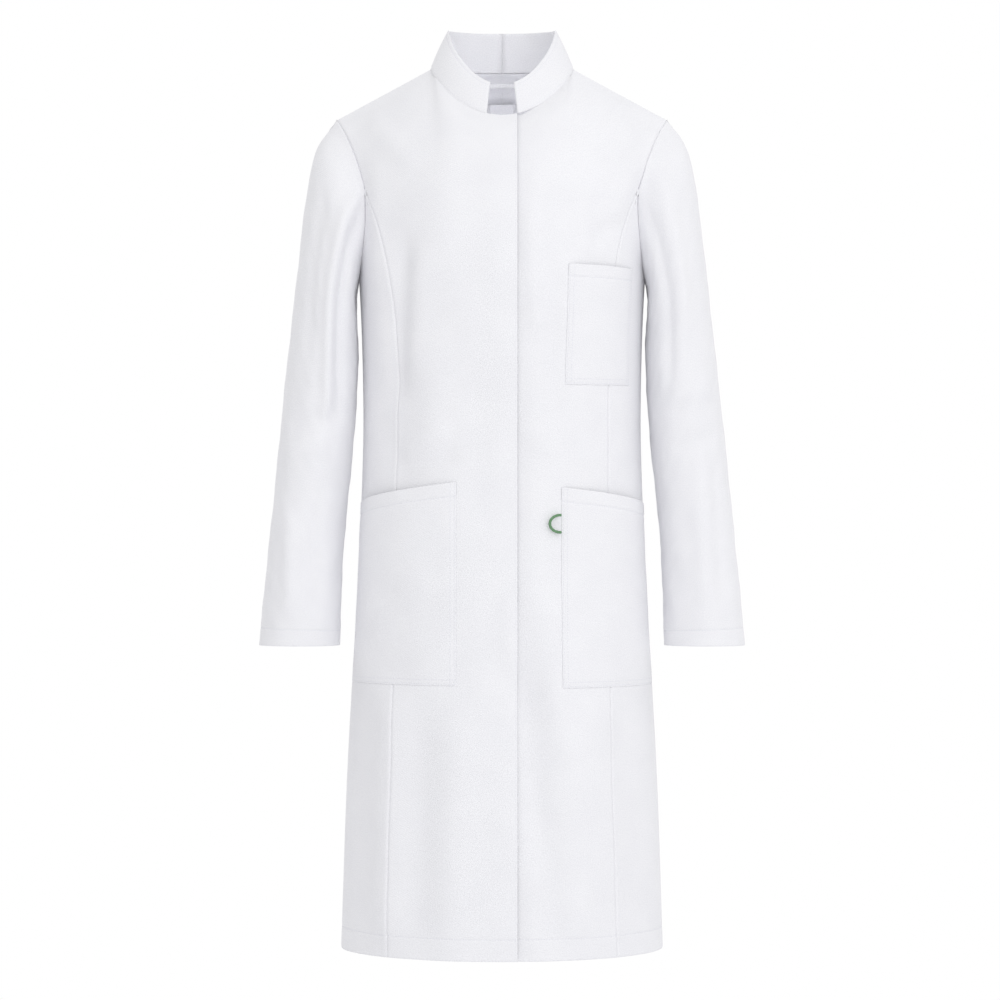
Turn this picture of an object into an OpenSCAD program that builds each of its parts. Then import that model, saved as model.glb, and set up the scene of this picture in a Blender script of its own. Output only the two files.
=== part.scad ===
// Lab coat with a stand collar, a concealed press-stud front and patch pockets.
// Front faces -Y, +Z is up, and the origin is at the centre of the neck, level with
// the top of the shoulder seams. Heights in the formulas below are measured from the hem.

/* [Body] */
// Height of the neck end of the shoulder seams above the hem
coat_len = 1000; // [1000:1:1000]
// Half width of the coat at the hem
hem_half_w = 183; // [178:1:190]
// Half width at the waist
waist_half_w = 158; // [152:1:160]
// Half width under the arms
chest_half_w = 163; // [160:1:166]
// Half length of the shoulder line, out to the shoulder tip
shoulder_half_w = 188; // [184:1:194]
// Depth of the front at the hem
hem_depth = 138; // [132:1:142]
// Depth of the front at the chest
chest_depth = 124; // [120:1:128]
// Thickness that stands for the cloth
cloth_t = 1; // [0.8:0.1:1.2]

/* [Collar] */
// Height of the collar at the back
collar_back_h = 43; // [38:1:48]
// Height of the collar at its front corners
collar_front_h = 35; // [30:1:40]
// Half width of the notch between the collar ends
notch_half_w = 17; // [14:1:20]

/* [Sleeves] */
// Length along the outside of the sleeve, measured down the side
sleeve_drop = 597; // [580:1:605]
// Half width of the cuff
cuff_half_w = 46; // [42:1:48]

/* [Pockets] */
// Height of the lower pockets
pocket_h = 222; // [210:1:230]
// Height of the lower edge of the lower pockets above the hem
pocket_z = 305; // [295:1:315]
// Most that a pocket stands away from the front
pocket_ease = 16; // [15:1:17]

/* [Press studs] */
// Radius of a stud's post
stud_r = 2; // [1.8:0.1:2.2]
// Radial clearance round the post
stud_gap = 0.6; // [0.4:0.1:0.8]
// Distance between two press studs
stud_pitch = 130; // [126:1:132]

/* [Motion room] */
// Angle that the right front swings open
right_open = 40; // [30:1:40]
// Angle that the left front swings open
left_open = 18; // [14:1:18]

/* [Hidden] */

white = [0.95, 0.95, 0.97];
inner_white = [0.9, 0.9, 0.93];
green = [0.45, 0.6, 0.45];
metal = [0.8, 0.8, 0.82];

chest_z = 860;          // height where the body starts to curve in to the shoulders
underarm_z = 765;
neck_half_w = 80;
neck_depth = 70;        // half depth of the neck ring
neck_front_drop = 60;
neck_angle = 25;        // column that runs up to the neck end of the shoulder seam
armhole_angle = 65;     // column that meets the armhole at chest_z
seam_gap = 0.15;        // degrees left at each side of a seam
fold_offset = 14;       // where the fold line of a front crosses, x over y
axis_top = [80, -66, 980];
axis_low = [118.7, -104.6, 0];
step_h = 40;            // height of one row of facets

widths = [[0, hem_half_w], [200, hem_half_w - 7], [400, 165], [570, waist_half_w],
    [680, 159], [underarm_z, chest_half_w], [chest_z, chest_half_w + 7], [1000, 172]];
fronts = [[0, hem_depth], [200, hem_depth - 8], [400, 122], [570, 112],
    [680, 119], [underarm_z, chest_depth], [chest_z, 112], [1000, 90]];
backs = [[0, 135], [200, 128], [400, 121], [570, 98],
    [680, 104], [underarm_z, 108], [chest_z, 108], [1000, 90]];

// Smooth curve through a short list of [height, value] stations
function seg(t, z, i = 0) = i >= len(t) - 2 || z < t[i + 1][0] ? i : seg(t, z, i + 1);
function slope(t, i) = let (a = max(i - 1, 0), b = min(i + 1, len(t) - 1))
    (t[b][1] - t[a][1]) / (t[b][0] - t[a][0]);
function curve(t, z) = let (i = seg(t, z), d = t[i + 1][0] - t[i][0], u = (z - t[i][0]) / d)
    (2 * u ^ 3 - 3 * u ^ 2 + 1) * t[i][1] + (u ^ 3 - 2 * u ^ 2 + u) * d * slope(t, i)
    + (3 * u ^ 2 - 2 * u ^ 3) * t[i + 1][1] + (u ^ 3 - u ^ 2) * d * slope(t, i + 1);
function smooth(u) = let (c = max(0, min(1, u))) c * c * (3 - 2 * c);

// Neck ring: w is 0 at the centre and 90 at the shoulder seam, f is -1 front and 1 back
function neck(w, f) = [neck_half_w * sin(w), -5 + f * neck_depth * cos(w),
    coat_len + (f < 0 ? -neck_front_drop * max(cos(w), 0) ^ 1.5 : 4 * cos(w))];

// Upper edge of the body at column p: neckline, then shoulder seam
function top_edge(p, f) = abs(p) <= neck_angle ? neck(90 * p / neck_angle, f)
    : let (u = (p - neck_angle) / (armhole_angle - neck_angle))
    [neck_half_w + (shoulder_half_w - neck_half_w) * u, -5 + 5 * u + f * 0.4, coat_len - 58 * u];

function ring(p, z, f) = [curve(widths, z) * sin(p),
    f * curve(f < 0 ? fronts : backs, z) * cos(p), z];

// Point on the body for column angle p and height parameter h
function skin(p, h, f) = h <= chest_z ? ring(p, h, f)
    : let (t = (h - chest_z) / (coat_len - chest_z), c = ring(p, chest_z, f), e = top_edge(p, f),
        q = [(c[0] + e[0]) / 2, 0.72 * c[1] + 0.28 * e[1], 0.3 * c[2] + 0.7 * e[2]])
    (1 - t) ^ 2 * c + 2 * t * (1 - t) * q + t ^ 2 * e;

function unit(v) = v / norm(v);
function out(p, h, f) = let (a = 0.3, hh = min(h, coat_len - 2),
    du = skin(p + a, hh, f) - skin(p - a, hh, f), dv = skin(p, hh + 1, f) - skin(p, hh - 1, f),
    n = unit(cross(du, dv))) -f * n;

// Where the armhole or the side seam ends a row
function edge_angle(h) = h <= underarm_z ? 90 : h >= chest_z ? armhole_angle
    : let (t = (h - underarm_z) / (chest_z - underarm_z))
    90 - (90 - armhole_angle) * sqrt(1 - (1 - t) ^ 2);

// Column where a value of the surface reaches a target, by halving
function find(g, h, target, lo = -30, hi = 64, n = 16) = n == 0 ? (lo + hi) / 2
    : let (m = (lo + hi) / 2) g(skin(m, h, -1)) < target
    ? find(g, h, target, m, hi, n - 1) : find(g, h, target, lo, m, n - 1);
along_x = function(q) q[0];
along_fold = function(q) q[0] + q[1];
function at_x(h, x) = find(along_x, h, x);
function princess(h) = asin(min(1, curve([[0, 128], [250, 122], [600, 119], [750, 125],
    [820, 138], [860, 154]], min(h, chest_z)) / curve(widths, min(h, chest_z))));
function princess_back(h) = asin(min(1, curve([[0, 105], [250, 96], [570, 82], [740, 94],
    [810, 120], [860, 154]], min(h, chest_z)) / curve(widths, min(h, chest_z))));
function panel_edge(h, seam) = h < chest_z ? min(seam, edge_angle(h) - 1) - seam_gap : edge_angle(h) - 0.6;

// Distance that the surface stands in front of the fold's axis, and the gap this needs
function axis_at(z) = axis_low + (axis_top - axis_low) * z / axis_top[2];
function proud(h) = let (q = skin(find(along_fold, h, fold_offset), h, -1), a = axis_at(q[2]))
    ((q[0] - a[0]) - (q[1] - a[1])) / sqrt(2);
function fold_gap(h, extra, swing) = max(0, proud(h) + extra) * tan(swing / 2) + 2.5;
function at_fold(h, extra, swing, way) =
    find(along_fold, h, fold_offset + way * sqrt(2) * fold_gap(h, extra, swing));

// Closed shell over a grid of outer and inner points
module shell(outer, inner) {
    r = len(outer);
    c = len(outer[0]);
    n = r * c;
    pts = [for (row = outer) each row, for (row = inner) each row];
    faces = [
        for (j = [0:r - 2]) for (i = [0:c - 2]) let (a = j * c + i)
            each [[a, a + c, a + c + 1], [a, a + c + 1, a + 1],
                [n + a, n + a + c + 1, n + a + c], [n + a, n + a + 1, n + a + c + 1]],
        for (j = [0:r - 2]) let (a = j * c, b = j * c + c - 1)
            each [[a, n + a, n + a + c], [a, n + a + c, a + c],
                [b, n + b + c, n + b], [b, b + c, n + b + c]],
        for (i = [0:c - 2]) let (a = i, b = (r - 1) * c + i)
            each [[a, a + 1, n + a + 1], [a, n + a + 1, n + a],
                [b, n + b + 1, b + 1], [b, n + b, n + b + 1]]];
    translate([0, 0, -coat_len]) polyhedron(pts, faces);
}

module side(s) { if (s < 0) mirror([1, 0, 0]) children(); else children(); }

// Part of the body between two columns and two heights, off from the surface by o1 to o2
module patch(lo, hi, h1, h2, o1, o2, cols, f = -1, dive = function(q) 0, rows = 0) {
    r = rows > 0 ? rows : max(1, round((h2 - h1) / step_h));
    function at(i, j, o) = let (h = h1 + (h2 - h1) * j / r,
        p = lo(h) + (hi(h) - lo(h)) * i / cols, q = skin(p, h, f))
        q + out(p, h, f) * (o(i / cols, j / r) + dive(q));
    grid1 = [for (j = [0:r]) [for (i = [0:cols]) at(i, j, o1)]];
    grid2 = [for (j = [0:r]) [for (i = [0:cols]) at(i, j, o2)]];
    if (f < 0) shell(grid2, grid1); else shell(grid1, grid2);
}
function level(v) = function(u, w) v;
// Crowned pocket front: close to the cloth at its sides and foot, open at its top
function crown(v, ease, u0, u1) = function(u, w)
    v + ease * sin(180 * (u0 + (u1 - u0) * u)) * smooth(w * 1.6);
// The left front runs under the right front near the centre
left_dive = function(q) -9.6 * (1 - smooth((q[0] - 24) / 40));

// Backs and sides
shoulder_h = 998.6;
side_top = 846;
module back(s) color(white) side(s)
    patch(function(h) 0.2, function(h) panel_edge(h, princess_back(h)), 0, shoulder_h,
        level(0), level(cloth_t), 7, 1);
module side_back(s) color(white) side(s)
    patch(function(h) princess_back(h) + seam_gap, function(h) edge_angle(h) - 0.3,
        0, side_top, level(0), level(cloth_t), 4, 1);
module side_front(s) color(white) side(s)
    patch(function(h) princess(h) + seam_gap, function(h) edge_angle(h) - 0.3,
        0, side_top, level(0), level(cloth_t), 4);

// Fronts: the still part by the shoulder, the soft fold, and the part that swings
module shoulder_front(s, swing) color(white) side(s)
    patch(function(h) at_fold(h, 0, swing, 1), function(h) panel_edge(h, princess(h)),
        0, shoulder_h, level(0), level(cloth_t), 3);
module fold(s, swing) color(white) side(s)
    patch(function(h) at_fold(h, 0, swing, -1) + 0.3, function(h) at_fold(h, 0, swing, 1) - 0.3,
        0, shoulder_h, level(0), level(cloth_t), 2);
module right_front() color(white) side(-1)
    patch(function(h) at_x(h, -notch_half_w), function(h) at_fold(h, 0, right_open, -1),
        0, shoulder_h, level(0), level(cloth_t), 6);
module left_front() color(white) side(1)
    patch(function(h) at_x(h, -16), function(h) at_fold(h, 0, left_open, -1),
        0, shoulder_h, level(0), level(cloth_t), 7, dive = left_dive);
module fly_strip() color(inner_white) side(-1)
    patch(function(h) at_x(h, -15), function(h) at_x(h, 22), 14, 990, level(-3.2), level(-2.2), 2);
module right_facing() color(inner_white) side(-1)
    patch(function(h) at_x(h, 23), function(h) at_x(h, 52), 14, 990, level(-3.2), level(-2.2), 2);
module left_facing() color(inner_white) side(1)
    patch(function(h) at_x(h, -15), function(h) at_x(h, 50), 14, 990,
        level(-3.4), level(-2.4), 3, dive = left_dive);

// Press studs, down the centre front
stud_heights = [for (i = [0:5]) 148 + i * stud_pitch, 922];
module at_studs() for (h = stud_heights) {
    p = at_x(h, -2);
    q = skin(-p, h, -1);
    n = out(-p, h, -1);
    translate(q - [0, 0, coat_len]) rotate([0, acos(n[2]), atan2(n[1], n[0])]) children();
}
module disc(r, z1, z2) translate([0, 0, z1]) cylinder(r = r, h = z2 - z1, $fn = 32);
module stud_caps() color(metal) at_studs() disc(5, -1.75, -0.95);
module stud_sockets() color(metal) at_studs() difference() {
    disc(6, -6.2, -4.1);
    disc(stud_r + stud_gap, -7, -4.7);
}
module studs() color(metal) at_studs() { disc(5.5, -7.8, -6.8); disc(stud_r, -7.8, -5.2); }
module stud_rings() color(metal) at_studs() disc(5, -11.4, -10.2);

// Stand collar: w runs from 0 at the centre to 180 at the other side, u up the collar
function collar_top(w, f) = let (k = (1 - f * cos(w)) / 2,
    hh = f < 0 ? collar_front_h + (collar_back_h - collar_front_h) * (1 - cos(w)) : collar_back_h,
    b = neck(w, f))
    [b[0] * 0.76, -5 + (b[1] + 5) * 0.84, b[2] + hh];
function collar(w, f, u) = let (b = neck(w, f), e = collar_top(w, f))
    b + (e - b) * (0.02 + 0.98 * u) + [0, 0, 1.2];
function collar_out(w, f) = unit([sin(w) * neck_depth, f * neck_half_w * cos(w), 25]);
module collar_patch(w1, w2, f, o1, o2, cols, u1 = 0, u2 = 1) {
    function w(j, i) = (is_function(w1) ? w1(j) : w1)
        + ((is_function(w2) ? w2(j) : w2) - (is_function(w1) ? w1(j) : w1)) * i / cols;
    function g(o) = [for (j = [0:3]) [for (i = [0:cols]) let (a = w(j, i), ff = a > 90 ? 1 : f,
        b = a > 90 ? 180 - a : a, q = collar(b, ff, u1 + (u2 - u1) * j / 3))
        q + collar_out(b, ff) * o]];
    shell(g(o2), g(o1));
}
// Column where the fold crosses the collar, and the collar end beside the notch
function collar_fold(shift, lo = 20, hi = 88, n = 14) = n == 0 ? (lo + hi) / 2
    : let (m = (lo + hi) / 2, q = collar(m, -1, 0.5))
    q[0] + q[1] < fold_offset + shift ? collar_fold(shift, m, hi, n - 1)
    : collar_fold(shift, lo, m, n - 1);
collar_end = asin(notch_half_w / neck_half_w);
module collar_front(s, o1, o2) side(s)
    collar_patch(collar_end, collar_fold(-3.4), -1, o1, o2, 5);
module collar_back(o1, o2, u1 = 0, u2 = 1) for (s = [-1, 1]) side(s)
    collar_patch(collar_fold(3.4), 179.9, -1, o1, o2, 10, u1, u2);
outer_layer = [0.6, 1.6];
inner_layer = [-1.6, -0.6];
module back_collar_outer() color(white) collar_back(outer_layer[0], outer_layer[1]);
module back_collar_inner() color(inner_white) collar_back(inner_layer[0], inner_layer[1]);
module collar_interlining() color(inner_white) collar_back(-0.3, 0.3, 0.1, 0.92);

// Inside the back of the neck
module back_neck_facing() color(inner_white) for (s = [-1, 1]) side(s)
    patch(function(h) 0.2, function(h) 24, 950, 996, level(-6), level(-5), 4, 1, rows = 3);
module neck_label() {
    q = skin(0, 975, 1);
    color(white) translate([-14, q[1] - 10, -32]) rotate([8, 0, 0]) cube([28, 0.8, 13]);
}
module hanger_loop() {
    q = skin(0, 988, 1);
    color(white) translate([0, q[1] - 14, -14]) rotate([90, 0, 0]) difference() {
        cube([70, 14, 1.6], center = true);
        cube([58, 6, 4], center = true);
    }
}

// Sleeve: ring angle a is 0 outside, 90 in front, 180 under the arm; t runs from armhole to cuff
outside = [[0, 191, 941], [0.08, 211, 910], [0.16, 221, 864], [0.3, 232, 775], [0.5, 247, 640],
    [0.75, 263, 480], [1, 276, 941 - sleeve_drop]];
inside = [[0, 169, 763], [0.08, 168, 745], [0.16, 165.5, 722], [0.3, 163.5, 668], [0.5, 169, 575],
    [0.75, 180, 458], [1, 276 - 2 * cuff_half_w, 941 - sleeve_drop]];
depths = [[0, 56], [0.12, 63], [0.3, 62], [0.6, 52], [1, 43]];
function column(t, k) = [for (q = t) [q[0], q[k]]];
function arm(t, a) = let (o = [curve(column(outside, 1), t), 0, curve(column(outside, 2), t)],
    n = [curve(column(inside, 1), t), 0, curve(column(inside, 2), t)],
    fade = 1 - smooth(t / 0.3))
    (o + n) / 2 + cos(a) * (o - n) / 2
    + [-20 * sin(a) ^ 2 * fade, -sin(a) * curve(depths, t) - 14 * t * t, 0];
function arm_out(t, a) = let (s = t < 0.99 ? 0.01 : -0.01)
    unit(cross(arm(t, a + 1) - arm(t, a - 1), (arm(t + s, a) - arm(t, a)) / s * 0.01));
module sleeve(s) {
    rows = 16;
    cols = 22;
    function g(o) = [for (j = [0:rows]) [for (i = [0:cols - 1]) let (t = j / rows, a = i * 360 / cols)
        arm(t, a) + arm_out(t, a) * o]];
    color(white) side(s) tube_shell(g(0), g(-cloth_t));
}
module tube_shell(outer, inner) {
    r = len(outer);
    c = len(outer[0]);
    n = r * c;
    pts = [for (row = outer) each row, for (row = inner) each row];
    faces = [
        for (j = [0:r - 2]) for (i = [0:c - 1]) let (a = j * c + i, b = j * c + (i + 1) % c)
            each [[a, b, b + c], [a, b + c, a + c],
                [n + a, n + b + c, n + b], [n + a, n + a + c, n + b + c]],
        for (i = [0:c - 1]) let (a = i, b = (i + 1) % c, d = (r - 1) * c)
            each [[a, n + a, n + b], [a, n + b, b],
                [d + a, d + n + b, d + n + a], [d + a, d + b, d + n + b]]];
    translate([0, 0, -coat_len]) polyhedron(pts, faces);
}

// Patch pockets: the half on the swinging front and the half beyond the fold
pocket_lift = 1.5;      // room between the front and a pocket's edges
lower_top = pocket_z + pocket_h;
module pocket(s, x_in, h1, h2, swing, ease, share) color(white) side(s)
    patch(function(h) at_x(h, x_in), function(h) at_fold(h, ease + 3, swing, -1), h1, h2,
        crown(pocket_lift, ease, 0, share), crown(pocket_lift + cloth_t, ease, 0, share), 8, rows = 6);
module pocket_side(s, h1, h2, swing, angle_out, ease, share) color(white) side(s)
    patch(function(h) at_fold(h, ease + 3, swing, 1), angle_out, h1, h2,
        crown(pocket_lift, ease, share, 1), crown(pocket_lift + cloth_t, ease, share, 1), 6, rows = 6);
pocket_edge = function(h) 82;
chest_edge = function(h) at_x(h, 150);
chest_low = 637;
chest_top = 771;
chest_ease = pocket_ease - 3;

// Loop of cord beside the left pocket
loop_z = 481;
module pocket_loop() {
    p = at_x(loop_z, 58);
    q = skin(p, loop_z, -1);
    n = out(p, loop_z, -1);
    color(green) translate(q + n * 4.2 - [0, 0, coat_len]) rotate([90, 0, atan2(n[1], n[0]) + 90])
        translate([3, 0, 0]) intersection() {
            rotate_extrude($fn = 40) translate([8.5, 0]) circle(r = 1.4, $fn = 16);
            translate([-20, -20, -5]) cube([20, 40, 10]);
        }
}

module right_back() back(-1);
module left_back() back(1);
module right_side_back() side_back(-1);
module left_side_back() side_back(1);
module right_side_front() side_front(-1);
module left_side_front() side_front(1);
module right_shoulder_front() shoulder_front(-1, right_open);
module left_shoulder_front() shoulder_front(1, left_open);
module right_fold() fold(-1, right_open);
module left_fold() fold(1, left_open);
module right_collar_outer() color(white) collar_front(-1, outer_layer[0], outer_layer[1]);
module left_collar_outer() color(white) collar_front(1, outer_layer[0], outer_layer[1]);
module right_collar_inner() color(inner_white) collar_front(-1, inner_layer[0], inner_layer[1]);
module left_collar_inner() color(inner_white) collar_front(1, inner_layer[0], inner_layer[1]);
module right_sleeve() sleeve(-1);
module left_sleeve() sleeve(1);
module right_pocket() pocket(-1, 51, pocket_z, lower_top, right_open, pocket_ease, 0.5);
module right_pocket_side() pocket_side(-1, pocket_z, lower_top, right_open, pocket_edge, pocket_ease, 0.5);
module left_pocket() pocket(1, 68, pocket_z - 4, lower_top - 3, left_open, pocket_ease, 0.5);
module left_pocket_side() pocket_side(1, pocket_z - 4, lower_top - 3, left_open, pocket_edge, pocket_ease, 0.5);
module chest_pocket() pocket(1, 70, chest_low, chest_top, left_open, chest_ease, 0.5);
module chest_pocket_side() pocket_side(1, chest_low, chest_top, left_open, chest_edge, chest_ease, 0.5);

right_back();
left_back();
right_side_back();
left_side_back();
right_side_front();
left_side_front();
right_shoulder_front();
left_shoulder_front();
right_fold();
left_fold();
right_front();
left_front();
right_facing();
left_facing();
fly_strip();
stud_caps();
stud_sockets();
studs();
stud_rings();
back_collar_outer();
back_collar_inner();
collar_interlining();
right_collar_outer();
right_collar_inner();
left_collar_outer();
left_collar_inner();
back_neck_facing();
neck_label();
hanger_loop();
right_sleeve();
left_sleeve();
right_pocket();
right_pocket_side();
left_pocket();
left_pocket_side();
chest_pocket();
chest_pocket_side();
pocket_loop();
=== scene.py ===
import bpy
import math
import numpy as np
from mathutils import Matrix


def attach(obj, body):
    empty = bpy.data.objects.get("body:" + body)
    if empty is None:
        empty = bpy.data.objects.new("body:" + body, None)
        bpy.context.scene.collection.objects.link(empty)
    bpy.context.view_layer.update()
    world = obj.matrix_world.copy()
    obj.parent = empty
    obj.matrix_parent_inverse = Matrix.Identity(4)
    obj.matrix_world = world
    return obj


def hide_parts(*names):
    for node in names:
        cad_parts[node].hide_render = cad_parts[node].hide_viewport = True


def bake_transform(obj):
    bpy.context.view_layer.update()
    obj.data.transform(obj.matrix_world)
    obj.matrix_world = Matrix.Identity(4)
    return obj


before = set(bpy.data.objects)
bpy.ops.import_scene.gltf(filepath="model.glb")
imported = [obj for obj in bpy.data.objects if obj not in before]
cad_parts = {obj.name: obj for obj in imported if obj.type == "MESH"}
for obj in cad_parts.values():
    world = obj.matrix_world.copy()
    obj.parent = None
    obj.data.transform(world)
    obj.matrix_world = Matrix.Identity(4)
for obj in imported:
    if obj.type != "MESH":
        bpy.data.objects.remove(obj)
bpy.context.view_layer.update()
mm = 0.001
coatLength = 1000.0  # hem to the neck ends of the shoulder seams; the frame's origin is at their level

# ---- camera: level, in front of the coat, with a long lens
camera = {"distance": 4.0, "height": 0.5086, "across": -0.0023, "spread": 1.140}
camData = bpy.data.cameras.new("camera")
camData.sensor_width = 36
camData.lens = 36 * camera["distance"] / camera["spread"]
camObject = bpy.data.objects.new("camera", camData)
camObject.location = (camera["across"], -camera["distance"], camera["height"] - coatLength * mm)
camObject.rotation_euler = (math.pi / 2, 0, 0)
bpy.context.scene.collection.objects.link(camObject)
bpy.context.scene.camera = camObject
print("camera is set")

# ---- shape of the coat, in millimetres above the hem, from the same rules as the frame
shape = {
    "neckHalf": 80, "neckDepth": 70, "neckDrop": 60, "neckColumn": 25, "armColumn": 65,
    "shoulderHalf": 188, "shoulderFall": 58, "chest": 860, "underarm": 765, "notchHalf": 17,
    "collarBack": 43, "collarFront": 35, "foldOffset": 14,
}
widths = [[0, 183], [200, 176], [400, 165], [570, 158], [680, 159], [765, 163], [860, 170], [1000, 172]]
fronts = [[0, 138], [200, 130], [400, 122], [570, 112], [680, 119], [765, 124], [860, 112], [1000, 90]]
backs = [[0, 135], [200, 128], [400, 121], [570, 98], [680, 104], [765, 108], [860, 108], [1000, 90]]


def curve(table, z):  # smooth line through a few stations
    x, y = np.array(table, float).T
    z = np.asarray(z, float)
    i = np.clip(np.searchsorted(x, z, side="right") - 1, 0, len(x) - 2)
    before, after = np.maximum(np.arange(len(x)) - 1, 0), np.minimum(np.arange(len(x)) + 1, len(x) - 1)
    slope = (y[after] - y[before]) / (x[after] - x[before])
    d = x[i + 1] - x[i]
    u = (z - x[i]) / d
    return ((2 * u**3 - 3 * u**2 + 1) * y[i] + (u**3 - 2 * u**2 + u) * d * slope[i]
            + (3 * u**2 - 2 * u**3) * y[i + 1] + (u**3 - u**2) * d * slope[i + 1])


def smooth(u):
    c = np.clip(u, 0, 1)
    return c * c * (3 - 2 * c)


def sinD(a):
    return np.sin(np.radians(a))


def cosD(a):
    return np.cos(np.radians(a))


def stack(x, y, z):
    return np.stack(np.broadcast_arrays(x, y, z), -1).astype(float)


def neckRing(w, f):
    drop = -shape["neckDrop"] * np.maximum(cosD(w), 0) ** 1.5 if f < 0 else 4 * cosD(w)
    return stack(shape["neckHalf"] * sinD(w), -5 + f * shape["neckDepth"] * cosD(w), coatLength + drop)


def topEdge(p, f):
    inner = neckRing(90 * p / shape["neckColumn"], f)
    u = (p - shape["neckColumn"]) / (shape["armColumn"] - shape["neckColumn"])
    reach = shape["shoulderHalf"] - shape["neckHalf"]
    level = coatLength - shape["shoulderFall"] * u
    outer = stack(shape["neckHalf"] + reach * u, -5 + 5 * u + f * 0.2, level)
    return np.where((np.abs(p) <= shape["neckColumn"])[..., None], inner, outer)


def bodyRing(p, z, f):
    return stack(curve(widths, z) * sinD(p), f * curve(fronts if f < 0 else backs, z) * cosD(p), z)


def skin(p, h, f):  # point of the coat at column angle p and height h; f is -1 in front
    p, h = np.broadcast_arrays(np.asarray(p, float), np.asarray(h, float))
    low = bodyRing(p, np.minimum(h, shape["chest"]), f)
    t = (np.clip((h - shape["chest"]) / (coatLength - shape["chest"]), 0, 1))[..., None]
    c, e = bodyRing(p, shape["chest"], f), topEdge(p, f)
    q = stack((c[..., 0] + e[..., 0]) / 2, 0.72 * c[..., 1] + 0.28 * e[..., 1],
              0.3 * c[..., 2] + 0.7 * e[..., 2])
    high = (1 - t) ** 2 * c + 2 * t * (1 - t) * q + t**2 * e
    return np.where(h[..., None] <= shape["chest"], low, high)


def unit(v):
    return v / np.maximum(np.linalg.norm(v, axis=-1, keepdims=True), 1e-9)


def outward(p, h, f):
    h = np.minimum(h, coatLength - 2)
    across = skin(p + 0.3, h, f) - skin(p - 0.3, h, f)
    return -f * unit(np.cross(across, skin(p, h + 1, f) - skin(p, h - 1, f)))


def edgeAngle(h):  # the side seam, then the armhole
    t = np.clip((h - shape["underarm"]) / (shape["chest"] - shape["underarm"]), 0, 1)
    return 90 - (90 - shape["armColumn"]) * np.sqrt(1 - (1 - t) ** 2)


def atX(h, x):
    lo, hi = np.full(np.shape(h), -30.0), np.full(np.shape(h), 64.0)
    for _ in range(22):
        m = (lo + hi) / 2
        less = skin(m, h, -1)[..., 0] < x
        lo, hi = np.where(less, m, lo), np.where(less, hi, m)
    return (lo + hi) / 2


def seamAngle(stations, h):
    z = np.minimum(h, shape["chest"])
    return np.degrees(np.arcsin(np.minimum(curve(stations, z) / curve(widths, z), 1)))


def frontSeam(h):
    return seamAngle([[0, 128], [250, 122], [600, 119], [750, 125], [820, 138], [860, 154]], h)


def backSeam(h):
    return seamAngle([[0, 105], [250, 96], [570, 82], [740, 94], [810, 120], [860, 154]], h)


def panelEdge(seam):
    return lambda h: np.where(h < shape["chest"], np.minimum(seam(h), edgeAngle(h) - 0.7), edgeAngle(h))


# ---- the way the cloth hangs: ridges and hollows, each a line on the front or back
# from and to are millimetres across (+ is the wearer's left) and up from the hem
frontFolds = [
    {"from": (-108, 800), "to": (-117, 620), "wide": 9, "high": -3.4},
    {"from": (-92, 790), "to": (-97, 640), "wide": 13, "high": 2.0},
    {"from": (-142, 880), "to": (-134, 640), "wide": 9, "high": 2.0},
    {"from": (-136, 740), "to": (-126, 540), "wide": 13, "high": -2.0},
    {"from": (-152, 290), "to": (-160, 10), "wide": 14, "high": -2.4},
    {"from": (24, 320), "to": (56, 20), "wide": 12, "high": -2.2},
    {"from": (74, 250), "to": (84, 10), "wide": 13, "high": 1.6},
    {"from": (30, 840), "to": (40, 690), "wide": 7, "high": 1.8},
    {"from": (46, 830), "to": (56, 610), "wide": 11, "high": -1.6},
    {"from": (48, 400), "to": (70, 220), "wide": 12, "high": 2.6},
    {"from": (34, 330), "to": (40, 130), "wide": 12, "high": -2.0},
    {"from": (4, 400), "to": (12, 315), "wide": 8, "high": 1.3},
    {"from": (140, 968), "to": (106, 905), "wide": 7, "high": 1.9},
    {"from": (150, 935), "to": (112, 868), "wide": 8, "high": 1.7},
    {"from": (152, 890), "to": (118, 815), "wide": 9, "high": 1.9},
    {"from": (128, 822), "to": (100, 800), "wide": 8, "high": -1.6},
    {"from": (-150, 940), "to": (-96, 880), "wide": 9, "high": 1.4},
    {"from": (-60, 900), "to": (-72, 760), "wide": 18, "high": 1.2},
    {"from": (-70, 700), "to": (-86, 560), "wide": 14, "high": 1.6},
    {"from": (84, 650), "to": (96, 545), "wide": 12, "high": 1.5},
    {"from": (-126, 300), "to": (-132, 20), "wide": 16, "high": 2.4},
    {"from": (-92, 280), "to": (-96, 10), "wide": 18, "high": -2.4},
    {"from": (-52, 290), "to": (-54, 0), "wide": 18, "high": 1.8},
    {"from": (96, 290), "to": (104, 10), "wide": 18, "high": 2.2},
    {"from": (140, 300), "to": (150, 10), "wide": 15, "high": -2.2},
    {"from": (-20, 640), "to": (-30, 480), "wide": 16, "high": -1.2},
    {"from": (22, 590), "to": (60, 560), "wide": 9, "high": 1.1},
    {"from": (-60, 590), "to": (-110, 560), "wide": 10, "high": 1.5},
    {"from": (-50, 560), "to": (-112, 520), "wide": 11, "high": -1.3},
]
foldDepth, foldSpread = 1.9, 1.3  # all folds are made this much deeper and wider than listed
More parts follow.
